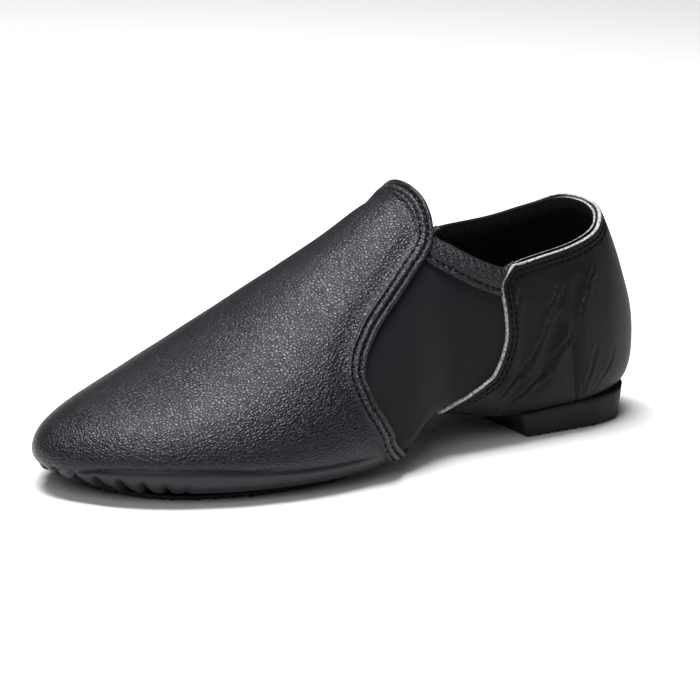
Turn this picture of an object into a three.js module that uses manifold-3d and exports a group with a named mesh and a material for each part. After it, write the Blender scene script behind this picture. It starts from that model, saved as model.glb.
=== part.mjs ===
// Slip-on split-sole jazz shoe for the left foot.
// Millimetres. +Z is up, the toe points to +Y, the inner side of the foot is +X.
// The origin lies on the floor under the middle of the heel block.
import * as THREE from 'three';
import { mergeVertices } from 'three/addons/utils/BufferGeometryUtils.js';
import Module from 'manifold-3d';

const wasm = await Module();
wasm.setup();

// Sizes of the foot space
const LAST_LENGTH = 232.5;
const BALL_WIDTH = 86;
const INSTEP_HEIGHT = 84;
const HEEL_RISE = 7.1;
const ARCH_RISE = 10.6;
const TOE_SPRING = 4.2;

// Material thicknesses
const WALL = 1.6;
const LEATHER = 1.2;
const INSOLE_THICKNESS = 2.2;
const PAD_THICKNESS = 1.6;
const GAP = 0.3;
const SEAM = 1.5;

// Heel block, forefoot pad and collar
const HEEL_LENGTH = 56.1;
const HEEL_TAPER = 1.2;
const BREAST_SLANT = 3.5;
const PAD_LENGTH = 102;
const HEEL_MARGIN = 9;
const PAD_MARGIN = 11;
const COLLAR_INNER_RISE = 2.8;
const BINDING_WIDTH = 8.6;
const BINDING_CAP = 1.2;

// Mesh fineness
const STATIONS = 24;
const AROUND = 36;
const EDGE_ROWS = 14;
const EDGE_FINE = 2;
const COLLAR_FINE = 2;
const COLLAR_STEPS = 6;

// Depths of the layers, measured outward from the foot space
const LAYER_IN = WALL + GAP;
const LAYER_OUT = LAYER_IN + LEATHER;
const SOLE_TOP = LAYER_OUT + GAP;
const FLOOR_SEAT = PAD_THICKNESS + SOLE_TOP;
const EMBED = 3;

// Places along the shoe. The collar bindings run between two stations.
const HEEL_REAR = -(HEEL_LENGTH + HEEL_TAPER - BREAST_SLANT) / 2;
const HEEL_BACK = HEEL_REAR - 0.6;
const PAD_REAR = HEEL_BACK + 0.515 * LAST_LENGTH;
const COLLAR_HALF = 0.32;
const COLLAR_REAR = 0.25;
const COLLAR_CORNER = 0.39;

// Outline of the foot space from above. Station is a share of the length,
// half and centre are shares of the ball width.
const PLAN = [
  { station: 0, half: 0, centre: 0 },
  { station: 0.02, half: 0.172, centre: 0 },
  { station: 0.05, half: 0.242, centre: 0 },
  { station: 0.095, half: 0.293, centre: 0 },
  { station: 0.15, half: 0.316, centre: 0 },
  { station: 0.263, half: 0.319, centre: -0.007 },
  { station: 0.386, half: 0.337, centre: -0.021 },
  { station: 0.488, half: 0.422, centre: -0.034 },
  { station: 0.591, half: 0.48, centre: -0.035 },
  { station: 0.683, half: 0.5, centre: -0.021 },
  { station: 0.754, half: 0.488, centre: -0.005 },
  { station: 0.826, half: 0.444, centre: 0.012 },
  { station: 0.887, half: 0.374, centre: 0.023 },
  { station: 0.939, half: 0.278, centre: 0.036 },
  { station: 0.974, half: 0.172, centre: 0.045 },
  { station: 1, half: 0, centre: 0.051 },
];

// Height of the seat over the forefoot. Columns are shares of the heel rise,
// the arch rise and the toe spring.
const SEAT = [
  { station: 0, heel: 1, arch: 0, spring: 0 },
  { station: 0.028, heel: 0.985, arch: 0, spring: 0 },
  { station: 0.14, heel: 0.85, arch: 0, spring: 0 },
  { station: 0.217, heel: 0.7, arch: 0.01, spring: 0 },
  { station: 0.283, heel: 0.4, arch: 0.26, spring: 0 },
  { station: 0.345, heel: 0.1, arch: 0.7, spring: 0 },
  { station: 0.396, heel: 0, arch: 0.93, spring: 0 },
  { station: 0.447, heel: 0, arch: 0.62, spring: 0 },
  { station: 0.488, heel: 0, arch: 0.16, spring: 0 },
  { station: 0.54, heel: 0, arch: 0.01, spring: 0 },
  { station: 0.57, heel: 0, arch: 0, spring: 0 },
  { station: 0.816, heel: 0, arch: 0, spring: 0 },
  { station: 0.887, heel: 0, arch: 0, spring: 0.1 },
  { station: 0.939, heel: 0, arch: 0, spring: 0.4 },
  { station: 1, heel: 0, arch: 0, spring: 1 },
];

// Sections across the foot space. Widest and top are heights as shares of the
// instep height, lower is how much of the depth under the widest line is used,
// lean is the shift of the ridge as a share of the ball width, and the last
// three are the roundness of the bottom, the outer side and the inner side.
const SECTIONS = [
  { station: 0, widest: 0.29, lower: 0, top: 0.29, lean: 0, under: 2.4, outer: 2.2, inner: 2.2 },
  { station: 0.003, widest: 0.29, lower: 0.5, top: 0.412, lean: 0, under: 2.4, outer: 2.2, inner: 2.2 },
  { station: 0.0095, widest: 0.286, lower: 0.78, top: 0.49, lean: 0, under: 2.5, outer: 2.2, inner: 2.2 },
  { station: 0.02, widest: 0.279, lower: 0.93, top: 0.56, lean: 0, under: 2.6, outer: 2.2, inner: 2.2 },
  { station: 0.032, widest: 0.276, lower: 0.975, top: 0.635, lean: 0, under: 3, outer: 2.2, inner: 2.2 },
  { station: 0.057, widest: 0.27, lower: 1, top: 0.81, lean: 0, under: 3.6, outer: 2.2, inner: 2.2 },
  { station: 0.085, widest: 0.268, lower: 1, top: 0.955, lean: 0, under: 4.2, outer: 2.2, inner: 2.2 },
  { station: 0.12, widest: 0.267, lower: 1, top: 1.06, lean: 0, under: 4.8, outer: 2.2, inner: 2.2 },
  { station: 0.181, widest: 0.267, lower: 1, top: 1.136, lean: 0.012, under: 4.8, outer: 2.2, inner: 2.2 },
  { station: 0.283, widest: 0.279, lower: 1, top: 1.16, lean: 0.023, under: 3.8, outer: 2.2, inner: 2.2 },
  { station: 0.345, widest: 0.279, lower: 1, top: 1.1, lean: 0.035, under: 2.9, outer: 2.1, inner: 2.2 },
  { station: 0.388, widest: 0.267, lower: 1, top: 1.005, lean: 0.041, under: 2.8, outer: 2, inner: 2.3 },
  { station: 0.437, widest: 0.235, lower: 1, top: 0.927, lean: 0.049, under: 3, outer: 1.9, inner: 2.2 },
  { station: 0.488, widest: 0.18, lower: 1, top: 0.836, lean: 0.053, under: 4.6, outer: 1.85, inner: 2.2 },
  { station: 0.56, widest: 0.132, lower: 1, top: 0.717, lean: 0.062, under: 5.2, outer: 1.8, inner: 2.25 },
  { station: 0.611, widest: 0.11, lower: 1, top: 0.631, lean: 0.064, under: 5.2, outer: 1.8, inner: 2.4 },
  { station: 0.683, widest: 0.094, lower: 1, top: 0.514, lean: 0.062, under: 5, outer: 1.85, inner: 2.45 },
  { station: 0.754, widest: 0.085, lower: 1, top: 0.42, lean: 0.047, under: 4.8, outer: 1.9, inner: 2.35 },
  { station: 0.826, widest: 0.084, lower: 1, top: 0.34, lean: 0.029, under: 4.4, outer: 2, inner: 2.15 },
  { station: 0.887, widest: 0.088, lower: 1, top: 0.281, lean: 0.019, under: 3.4, outer: 2.05, inner: 2 },
  { station: 0.939, widest: 0.087, lower: 0.95, top: 0.224, lean: 0.007, under: 2.8, outer: 2.1, inner: 2 },
  { station: 0.974, widest: 0.09, lower: 0.74, top: 0.174, lean: 0.002, under: 2.6, outer: 2.2, inner: 2.2 },
  { station: 1, widest: 0.098, lower: 0, top: 0.098, lean: 0, under: 2.4, outer: 2.2, inner: 2.2 },
];

// Side view of the collar line. Station is a share of the length, height a
// share of the instep height.
const COLLAR = [
  { station: -0.15, height: 0.885 },
  { station: -0.02, height: 0.885 },
  { station: 0.045, height: 0.885 },
  { station: 0.0625, height: 0.875 },
  { station: 0.0824, height: 0.84 },
  { station: 0.1, height: 0.812 },
  { station: 0.128, height: 0.79 },
  { station: 0.175, height: 0.762 },
  { station: 0.215, height: 0.747 },
  { station: 0.2576, height: 0.728 },
  { station: 0.272, height: 0.712 },
  { station: 0.283, height: 0.701 },
  { station: 0.295, height: 0.713 },
  { station: 0.3287, height: 0.754 },
  { station: 0.3659, height: 0.812 },
  { station: 0.386, height: 0.845 },
  { station: 0.3915, height: 0.864 },
  { station: 0.3895, height: 0.9 },
  { station: 0.3865, height: 0.945 },
  { station: 0.3855, height: 0.99 },
  { station: 0.388, height: 1.03 },
  { station: 0.395, height: 1.06 },
  { station: 0.41, height: 1.09 },
  { station: 0.44, height: 1.19 },
];

// How much of the collar tilt is used along the shoe
const TILT = [
  { station: 0, share: 0.6 },
  { station: 0.1, share: 0.45 },
  { station: 0.15, share: 0.25 },
  { station: 0.2, share: 0.45 },
  { station: 0.26, share: 0.85 },
  { station: 0.32, share: 1 },
  { station: 0.4, share: 1 },
];

// Rear edge of the leather vamp and front edge of the heel counter, seen around
// the section. Turn is 0 under the foot and 1 on the ridge.
const VAMP_EDGE = [
  { turn: 0, station: 0.449 },
  { turn: 0.2, station: 0.463 },
  { turn: 0.32, station: 0.491 },
  { turn: 0.42, station: 0.513 },
  { turn: 0.49, station: 0.529 },
  { turn: 0.55, station: 0.547 },
  { turn: 0.6, station: 0.561 },
  { turn: 0.645, station: 0.566 },
  { turn: 0.68, station: 0.556 },
  { turn: 0.705, station: 0.535 },
  { turn: 0.7211, station: 0.516 },
  { turn: 0.74, station: 0.479 },
  { turn: 0.7556, station: 0.44 },
  { turn: 0.7667, station: 0.4135 },
  { turn: 0.7778, station: 0.3985 },
  { turn: 0.7989, station: 0.386 },
  { turn: 0.82, station: 0.365 },
  { turn: 1, station: 0.345 },
];
const COUNTER_EDGE = [
  { turn: 0, station: 0.268 },
  { turn: 0.06, station: 0.283 },
  { turn: 0.14, station: 0.34 },
  { turn: 0.21, station: 0.394 },
  { turn: 0.26, station: 0.402 },
  { turn: 0.31, station: 0.397 },
  { turn: 0.36, station: 0.386 },
  { turn: 0.411, station: 0.363 },
  { turn: 0.454, station: 0.341 },
  { turn: 0.487, station: 0.323 },
  { turn: 0.503, station: 0.308 },
  { turn: 0.52, station: 0.297 },
  { turn: 0.551, station: 0.2885 },
  { turn: 0.586, station: 0.2905 },
  { turn: 0.622, station: 0.295 },
  { turn: 0.64, station: 0.285 },
  { turn: 0.665, station: 0.262 },
  { turn: 0.7, station: 0.25 },
  { turn: 1, station: 0.25 },
];

// Outlines of the forefoot pad and the heel block from rear to front. Half and
// centre are shares of the ball width.
const PAD_OUTLINE = [
  { along: 0, half: 0, centre: -0.06 },
  { along: 0.02, half: 0.17, centre: -0.055 },
  { along: 0.08, half: 0.3, centre: -0.048 },
  { along: 0.2, half: 0.39, centre: -0.036 },
  { along: 0.34, half: 0.42, centre: -0.024 },
  { along: 0.48, half: 0.424, centre: -0.01 },
  { along: 0.64, half: 0.4, centre: 0.006 },
  { along: 0.78, half: 0.345, centre: 0.02 },
  { along: 0.9, half: 0.245, centre: 0.032 },
  { along: 0.97, half: 0.14, centre: 0.038 },
  { along: 1, half: 0, centre: 0.041 },
];
const HEEL_OUTLINE = [
  { along: 0, half: 0, centre: 0 },
  { along: 0.03, half: 0.115, centre: 0 },
  { along: 0.1, half: 0.2, centre: 0 },
  { along: 0.25, half: 0.276, centre: 0 },
  { along: 0.45, half: 0.303, centre: 0 },
  { along: 0.7, half: 0.305, centre: -0.003 },
  { along: 1, half: 0.3, centre: -0.006 },
];

// Smooth curve through the rows of a table, free of overshoot
function smooth(keys, values) {
  const count = keys.length;
  const step = [];
  const slope = [];
  for (let i = 0; i < count - 1; i += 1) {
    step.push(keys[i + 1] - keys[i]);
    slope.push((values[i + 1] - values[i]) / step[i]);
  }
  const tangent = new Array(count).fill(0);
  for (let i = 1; i < count - 1; i += 1) {
    if (slope[i - 1] * slope[i] > 0) {
      const before = 2 * step[i] + step[i - 1];
      const after = step[i] + 2 * step[i - 1];
      tangent[i] = (before + after) / (before / slope[i - 1] + after / slope[i]);
    }
  }
  tangent[0] = endTangent(step[0], step[1], slope[0], slope[1]);
  tangent[count - 1] = endTangent(
    step[count - 2], step[count - 3], slope[count - 2], slope[count - 3],
  );
  return (key) => {
    const at = Math.min(Math.max(key, keys[0]), keys[count - 1]);
    let i = 0;
    while (i < count - 2 && at > keys[i + 1]) i += 1;
    const t = (at - keys[i]) / step[i];
    const startPull = t * (1 - t) ** 2 * step[i] * tangent[i];
    const endPull = t * t * (t - 1) * step[i] * tangent[i + 1];
    const start = (1 + 2 * t) * (1 - t) ** 2 * values[i];
    const end = t * t * (3 - 2 * t) * values[i + 1];
    return start + end + startPull + endPull;
  };
}

function endTangent(near, far, nearSlope, farSlope) {
  const tangent = ((2 * near + far) * nearSlope - near * farSlope) / (near + far);
  if (tangent * nearSlope <= 0) return 0;
  if (nearSlope * farSlope <= 0 && Math.abs(tangent) > 3 * Math.abs(nearSlope)) {
    return 3 * nearSlope;
  }
  return tangent;
}

// Stations are stretched near both ends so the rounded ends stay smooth
const stretch = (share) => (2 / Math.PI) * Math.asin(Math.sqrt(Math.min(Math.max(share, 0), 1)));
const unstretch = (even) => Math.sin((Math.PI * even) / 2) ** 2;

function column(rows, name, keyName = 'station') {
  const curve = smooth(rows.map((row) => stretch(row[keyName])), rows.map((row) => row[name]));
  return (share) => curve(stretch(share));
}

const plan = { half: column(PLAN, 'half'), centre: column(PLAN, 'centre') };
const tiltShare = column(TILT, 'share');
const seatShare = {
  heel: column(SEAT, 'heel'), arch: column(SEAT, 'arch'), spring: column(SEAT, 'spring'),
};
const section = {};
for (const name of ['widest', 'lower', 'top', 'lean', 'under', 'outer', 'inner']) {
  section[name] = column(SECTIONS, name);
}

// Edge line as angles round the section with the station of each
function edgeLine(table) {
  const turns = table.map((row) => row.turn);
  const stationAtTurn = smooth(turns, table.map((row) => row.station));
  const outer = [];
  for (let i = 0; i < turns.length - 1; i += 1) {
    for (let k = 0; k < EDGE_FINE; k += 1) {
      const turn = turns[i] + ((turns[i + 1] - turns[i]) * k) / EDGE_FINE;
      outer.push({ angle: Math.PI * turn, station: stationAtTurn(turn) });
    }
  }
  const ridge = { angle: Math.PI, station: stationAtTurn(1) };
  const inner = outer.slice(1).reverse().map(({ angle, station }) => (
    { angle: 2 * Math.PI - angle, station }
  ));
  return [...outer, ridge, ...inner];
}
const vampEdge = edgeLine(VAMP_EDGE);
const counterEdge = edgeLine(COUNTER_EDGE);

const lengthAt = (station) => HEEL_BACK + LAST_LENGTH * station;
const stationAt = (y) => (y - HEEL_BACK) / LAST_LENGTH;
const riseAt = (station) => HEEL_RISE * seatShare.heel(station)
  + ARCH_RISE * seatShare.arch(station)
  + TOE_SPRING * seatShare.spring(station);
const seatAt = (station) => FLOOR_SEAT + riseAt(station);

// Point of the foot space. Angle 0 is under the foot, a quarter turn is the
// outer side, half a turn the ridge, three quarters the inner side.
function footPoint(station, angle) {
  const cosine = Math.cos(angle);
  const sine = Math.sin(angle);
  const widest = FLOOR_SEAT + INSTEP_HEIGHT * section.widest(station);
  const isUnder = cosine > 0;
  const side = sine >= 0 ? section.outer(station) : section.inner(station);
  const power = 2 / (isUnder ? section.under(station) : side);
  const across = Math.sign(sine) * Math.abs(sine) ** power;
  const upright = Math.abs(cosine) ** power;
  const depth = section.lower(station) * (widest - seatAt(station));
  const crown = FLOOR_SEAT + INSTEP_HEIGHT * section.top(station) - widest;
  const lean = isUnder ? 0 : BALL_WIDTH * section.lean(station) * upright ** 1.5;
  return new THREE.Vector3(
    BALL_WIDTH * (plan.centre(station) - plan.half(station) * across) + lean,
    lengthAt(station),
    isUnder ? widest - depth * upright : widest + crown * upright,
  );
}

// Point of the form that lies a given depth outside the foot space
function formPoint(station, angle, depth) {
  const point = footPoint(station, angle);
  const isHeelEnd = station < 1e-5;
  const isToeEnd = station > 1 - 1e-5;
  if (isHeelEnd) return point.setY(point.y - depth);
  if (isToeEnd) return point.setY(point.y + depth);
  const even = stretch(station);
  const fore = footPoint(unstretch(Math.min(even + 0.002, 1)), angle);
  const aft = footPoint(unstretch(Math.max(even - 0.002, 0)), angle);
  const along = fore.sub(aft);
  const around = footPoint(station, angle + 0.001).sub(footPoint(station, angle - 0.001));
  return point.addScaledVector(around.cross(along).normalize(), depth);
}

// Closed solid from a list of points and triangles
function solid(points, triangles) {
  const vertProperties = new Float32Array(points.flatMap((point) => point.toArray()));
  const triVerts = new Uint32Array(triangles.flat());
  return new wasm.Manifold(new wasm.Mesh({ numProp: 3, vertProperties, triVerts }));
}

// The whole form as a closed solid with a pole at the heel and one at the toe
function form(depth) {
  const points = [formPoint(0, 0, depth)];
  for (let i = 1; i < STATIONS; i += 1) {
    for (let j = 0; j < AROUND; j += 1) {
      points.push(formPoint(unstretch(i / STATIONS), (2 * Math.PI * j) / AROUND, depth));
    }
  }
  points.push(formPoint(1, 0, depth));
  const last = points.length - 1;
  const at = (row, j) => 1 + row * AROUND + (j % AROUND);
  const triangles = [];
  for (let j = 0; j < AROUND; j += 1) {
    triangles.push([0, at(0, j + 1), at(0, j)]);
    triangles.push([last, at(STATIONS - 2, j), at(STATIONS - 2, j + 1)]);
    for (let row = 0; row < STATIONS - 2; row += 1) {
      triangles.push([at(row, j), at(row, j + 1), at(row + 1, j + 1)]);
      triangles.push([at(row, j), at(row + 1, j + 1), at(row + 1, j)]);
    }
  }
  return solid(points, triangles);
}

// Thick cap of the form between an edge line and the heel or toe end, used to
// trim the leather panels. Shift moves the edge along the shoe.
function endCap(edge, endStation, shift, innerDepth, outerDepth) {
  const end = stretch(endStation);
  const points = [];
  for (const depth of [outerDepth, innerDepth]) {
    for (let row = 0; row < EDGE_ROWS; row += 1) {
      for (const { angle, station } of edge) {
        const start = stretch(station + shift / LAST_LENGTH);
        const here = unstretch(start + ((end - start) * row) / EDGE_ROWS);
        points.push(formPoint(here, angle, depth));
      }
    }
    points.push(formPoint(endStation, 0, depth));
  }
  const count = edge.length;
  const layer = EDGE_ROWS * count + 1;
  const at = (side, row, j) => side * layer + row * count + (j % count);
  const pole = (side) => side * layer + layer - 1;
  const triangles = [];
  for (let j = 0; j < count; j += 1) {
    triangles.push([at(0, 0, j + 1), at(0, 0, j), at(1, 0, j)]);
    triangles.push([at(0, 0, j + 1), at(1, 0, j), at(1, 0, j + 1)]);
    triangles.push([at(0, EDGE_ROWS - 1, j), at(0, EDGE_ROWS - 1, j + 1), pole(0)]);
    triangles.push([at(1, EDGE_ROWS - 1, j + 1), at(1, EDGE_ROWS - 1, j), pole(1)]);
    for (let row = 0; row < EDGE_ROWS - 1; row += 1) {
      triangles.push([at(0, row, j), at(0, row, j + 1), at(0, row + 1, j + 1)]);
      triangles.push([at(0, row, j), at(0, row + 1, j + 1), at(0, row + 1, j)]);
      triangles.push([at(1, row, j), at(1, row + 1, j + 1), at(1, row, j + 1)]);
      triangles.push([at(1, row, j), at(1, row + 1, j), at(1, row + 1, j + 1)]);
    }
  }
  const isToeEnd = endStation > 0.5;
  return solid(points, isToeEnd ? triangles : triangles.map(([a, b, c]) => [a, c, b]));
}

// Body made of strips across the shoe. Every row has a left and a right side,
// a lower edge and an upper edge.
function strips(rows) {
  const points = [];
  for (const row of rows) {
    const inset = row.inset ?? 0;
    const lowY = row.lowY ?? row.y;
    points.push(new THREE.Vector3(row.left + inset, lowY, row.low));
    points.push(new THREE.Vector3(row.right - inset, lowY, row.low));
    points.push(new THREE.Vector3(row.right, row.y, row.high));
    points.push(new THREE.Vector3(row.left, row.y, row.high));
  }
  const triangles = [];
  for (let row = 0; row < rows.length - 1; row += 1) {
    for (let k = 0; k < 4; k += 1) {
      const here = 4 * row + k;
      const next = 4 * row + ((k + 1) % 4);
      triangles.push([here, next + 4, next]);
      triangles.push([here, here + 4, next + 4]);
    }
  }
  const end = 4 * (rows.length - 1);
  triangles.push([0, 1, 2]);
  triangles.push([0, 2, 3]);
  triangles.push([end, end + 2, end + 1]);
  triangles.push([end, end + 3, end + 2]);
  return solid(points, triangles);
}

// Rows of an outline that starts at a rear edge, drawn in by a margin
function outlineRows(table, rear, length, margin, count) {
  const half = column(table, 'half', 'along');
  const centre = column(table, 'centre', 'along');
  const widest = Math.max(...table.map((row) => row.half)) * BALL_WIDTH;
  const narrowing = (widest - margin) / widest;
  const first = table[0].half > 0 ? 0 : 0.5;
  const last = table[table.length - 1].half > 0 ? count : count - 0.5;
  const rows = [];
  for (let k = 0; k <= count; k += 1) {
    const along = unstretch(Math.min(Math.max(k, first), last) / count);
    const y = rear + margin + (length - 2 * margin) * along;
    const reach = BALL_WIDTH * half(along) * narrowing;
    const middle = BALL_WIDTH * centre(along);
    rows.push({ along, y, left: middle - reach, right: middle + reach });
  }
  return rows;
}

// Prism with a side-view outline, sheared so the inner side stands higher
function collarPrism(outline) {
  const reach = BALL_WIDTH;
  const shape = new THREE.Shape(outline.map(([y, z]) => new THREE.Vector2(y, z)));
  const geometry = new THREE.ExtrudeGeometry(shape, { depth: 1, steps: COLLAR_STEPS, bevelEnabled: false });
  geometry.deleteAttribute('normal');
  geometry.deleteAttribute('uv');
  const welded = mergeVertices(geometry, 1e-5);
  const position = welded.getAttribute('position');
  const points = [];
  for (let i = 0; i < position.count; i += 1) {
    const x = reach * (2 * position.getZ(i) - 1);
    const y = position.getX(i);
    const inward = (x / (COLLAR_HALF * BALL_WIDTH) + 1) / 2;
    const tilt = COLLAR_INNER_RISE * tiltShare(stationAt(y)) * inward;
    points.push(new THREE.Vector3(x, y, position.getY(i) + tilt));
  }
  const index = Array.from(welded.getIndex().array);
  const triangles = [];
  for (let i = 0; i < index.length; i += 3) triangles.push(index.slice(i, i + 3));
  return solid(points, triangles);
}

// Collar line as side-view points, between two rows of its table
function collarLine(first, last, lift) {
  const keys = COLLAR.map((row, index) => index);
  const along = smooth(keys, COLLAR.map((row) => row.station));
  const up = smooth(keys, COLLAR.map((row) => row.height));
  const line = [];
  for (let i = first * COLLAR_FINE; i <= last * COLLAR_FINE; i += 1) {
    const height = FLOOR_SEAT + INSTEP_HEIGHT * up(i / COLLAR_FINE);
    line.push([lengthAt(along(i / COLLAR_FINE)), height + lift]);
  }
  return line;
}

function aboveCollar(lift) {
  const line = collarLine(0, COLLAR.length - 1, lift);
  const ceiling = FLOOR_SEAT + INSTEP_HEIGHT * 1.6;
  const front = line[line.length - 1][0];
  const back = line[0][0];
  return collarPrism([...line, [front, ceiling], [back, ceiling]]);
}

// Strip along the side of the collar, from under the edge to over it
function collarBand(width, cap) {
  const first = COLLAR.findIndex((row) => row.station > COLLAR_REAR);
  const last = COLLAR.findIndex((row) => row.station > COLLAR_CORNER);
  const over = collarLine(first, last, cap);
  const under = collarLine(first, last, -width).reverse();
  return collarPrism([...over, ...under]);
}

// Half of space on one side of the shoe, as a large block
function sideBlock(isOuter) {
  const reach = BALL_WIDTH;
  const left = isOuter ? -reach : 0;
  const right = isOuter ? 0 : reach;
  const high = FLOOR_SEAT + INSTEP_HEIGHT * 1.6;
  return strips([
    { y: lengthAt(-0.2), left, right, low: -reach, high },
    { y: lengthAt(1.2), left, right, low: -reach, high },
  ]);
}

const HEEL_ROWS = 12;
const heelTop = (y) => riseAt(stationAt(y)) + PAD_THICKNESS + EMBED;

// Block under the heel, before its top is shaped
function heelBlock() {
  const rows = outlineRows(HEEL_OUTLINE, HEEL_REAR, HEEL_LENGTH, 0, HEEL_ROWS);
  const lowLength = HEEL_LENGTH - HEEL_TAPER - BREAST_SLANT;
  return strips(rows.map((row) => ({
    ...row,
    inset: Math.min(HEEL_TAPER, (row.right - row.left) / 4),
    lowY: HEEL_REAR + HEEL_TAPER + lowLength * row.along,
    low: 0,
    high: heelTop(row.y),
  })));
}

const PAD_ROWS = 18;

// Pad under the forefoot, before its top is shaped
function forefootPad() {
  const rows = outlineRows(PAD_OUTLINE, PAD_REAR, PAD_LENGTH, 0, PAD_ROWS);
  return strips(rows.map((row) => {
    const low = riseAt(stationAt(row.y));
    return { ...row, low, high: low + PAD_THICKNESS + EMBED };
  }));
}

// Hole through the lasting margins above a sole piece
function opening(table, rear, length, margin, count) {
  const rows = outlineRows(table, rear, length, margin, count);
  return strips(rows.map((row) => ({
    ...row,
    low: -PAD_THICKNESS,
    high: seatAt(stationAt(row.y)) + EMBED,
  })));
}

// Thin slab that keeps only the lowest part of the foot space
function insoleSlab() {
  const rows = [];
  for (let i = 0; i <= STATIONS; i += 1) {
    const station = unstretch(i / STATIONS);
    rows.push({
      y: lengthAt(station) + (station - 0.5) * 2 * GAP,
      left: -BALL_WIDTH,
      right: BALL_WIDTH,
      low: -BALL_WIDTH,
      high: seatAt(station) + GAP + INSOLE_THICKNESS,
    });
  }
  return strips(rows);
}

const openings = opening(PAD_OUTLINE, PAD_REAR, PAD_LENGTH, PAD_MARGIN, 12)
  .add(opening(HEEL_OUTLINE, HEEL_REAR, HEEL_LENGTH, HEEL_MARGIN, 8));
const cutAway = aboveCollar(0).add(openings);
const footSpace = form(0);
const panelShell = form(LAYER_OUT).subtract(form(LAYER_IN));
const soleCutter = form(SOLE_TOP);

const upper = form(WALL).subtract(footSpace).subtract(cutAway);
const vampCap = endCap(vampEdge, 1, 0, GAP, LAYER_OUT * 2);
const counterCap = endCap(counterEdge, 0, 0, GAP, LAYER_OUT * 2);
const vamp = panelShell.intersect(vampCap).subtract(cutAway);
const counter = panelShell.intersect(counterCap).subtract(cutAway);

const bindingShell = form(LAYER_OUT).subtract(form(-GAP - BINDING_CAP));
const bindingCore = form(LAYER_IN).subtract(form(-GAP)).subtract(aboveCollar(GAP));
const behindVamp = endCap(vampEdge, 1, -SEAM, -LAYER_OUT, LAYER_OUT * 2);
const aheadOfCounter = endCap(counterEdge, 0, SEAM, -LAYER_OUT, LAYER_OUT * 2);
const bindings = bindingShell
  .intersect(collarBand(BINDING_WIDTH, GAP + BINDING_CAP))
  .subtract(bindingCore)
  .subtract(behindVamp)
  .subtract(aheadOfCounter);

const insole = form(-GAP).intersect(insoleSlab());
const heel = heelBlock().subtract(soleCutter);
const pad = forefootPad().subtract(soleCutter);

const surface = (color, roughness) => new THREE.MeshStandardMaterial({
  color, roughness, metalness: 0,
});
const shoe = new THREE.Group();

function addPiece(name, body, material) {
  const { vertProperties, triVerts } = body.getMesh();
  const geometry = new THREE.BufferGeometry();
  geometry.setAttribute('position', new THREE.BufferAttribute(vertProperties, 3));
  geometry.setIndex(new THREE.BufferAttribute(triVerts, 1));
  geometry.computeVertexNormals();
  const piece = new THREE.Mesh(geometry, material);
  piece.name = name;
  shoe.add(piece);
}

addPiece('upper', upper, surface(0x34343a, 0.9));
addPiece('vamp', vamp, surface(0x1c1c20, 0.5));
addPiece('heel_counter', counter, surface(0x202024, 0.5));
addPiece('collar_binding_lateral', bindings.intersect(sideBlock(true)), surface(0x28282c, 0.55));
addPiece('collar_binding_medial', bindings.intersect(sideBlock(false)), surface(0x28282c, 0.55));
addPiece('forefoot_sole', pad, surface(0x2a2a2e, 0.85));
addPiece('heel', heel, surface(0x2e2e32, 0.85));
addPiece('insole', insole, surface(0x18181a, 0.95));

export default shoe;
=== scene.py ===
"""Looks of a slip-on split-sole jazz shoe for the left foot.

Metres. +Z is up, the toe points to +Y, the inner side of the foot is +X.
The leather, fabric and rubber are surfaces worked out from the sections of the
foot space: station is the share of its length from the heel, angle runs round
the section from under the foot over the outer side, the ridge and the inner side.
"""

import bpy
import numpy as np
from mathutils import Matrix, Vector


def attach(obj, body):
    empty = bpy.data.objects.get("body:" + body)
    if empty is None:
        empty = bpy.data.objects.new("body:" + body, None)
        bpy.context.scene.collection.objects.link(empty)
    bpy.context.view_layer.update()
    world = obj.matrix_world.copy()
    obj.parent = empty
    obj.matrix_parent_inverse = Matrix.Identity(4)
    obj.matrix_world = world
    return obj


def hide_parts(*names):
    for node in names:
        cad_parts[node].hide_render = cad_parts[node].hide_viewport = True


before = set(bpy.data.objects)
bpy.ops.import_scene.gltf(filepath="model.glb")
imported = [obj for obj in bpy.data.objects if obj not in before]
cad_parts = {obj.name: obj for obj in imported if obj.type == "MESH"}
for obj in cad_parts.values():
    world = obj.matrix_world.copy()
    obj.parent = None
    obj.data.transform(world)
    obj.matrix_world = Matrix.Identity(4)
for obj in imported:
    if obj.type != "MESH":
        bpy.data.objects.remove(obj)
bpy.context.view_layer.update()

MM = 0.001

# Sizes of the foot space
LAST_LENGTH = 232.5 * MM
BALL_WIDTH = 86 * MM
INSTEP_HEIGHT = 84 * MM
HEEL_RISE = 7.1 * MM
ARCH_RISE = 10.6 * MM
TOE_SPRING = 4.2 * MM

# Material thicknesses and where the parts of the sole lie
WALL = 1.6 * MM
LAYER_OUT = 3.1 * MM
PAD_THICKNESS = 1.6 * MM
FLOOR_SEAT = 5.0 * MM
INSOLE_HEIGHT = 2.5 * MM
HEEL_LENGTH = 56.1 * MM
HEEL_TAPER = 1.2 * MM
BREAST_SLANT = 3.5 * MM
HEEL_WALL_RISE = 3.2 * MM
VAMP_INNER_FACE = 1.4 * MM
THROAT_INNER_FACE = -0.5 * MM
COUNTER_INNER_FACE = 1.45 * MM
VAMP_EDGE_ROUND = 0.9 * MM
COUNTER_EDGE_ROUND = 1.0 * MM
INSOLE_UNDERSIDE = -0.3 * MM
HEEL_REAR = -(HEEL_LENGTH + HEEL_TAPER - BREAST_SLANT) / 2
HEEL_BACK = HEEL_REAR - 0.6 * MM
PAD_LENGTH = 102 * MM
PAD_REAR = HEEL_BACK + 0.515 * LAST_LENGTH
COLLAR_HALF = 0.32
COLLAR_INNER_RISE = 2.8 * MM

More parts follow.
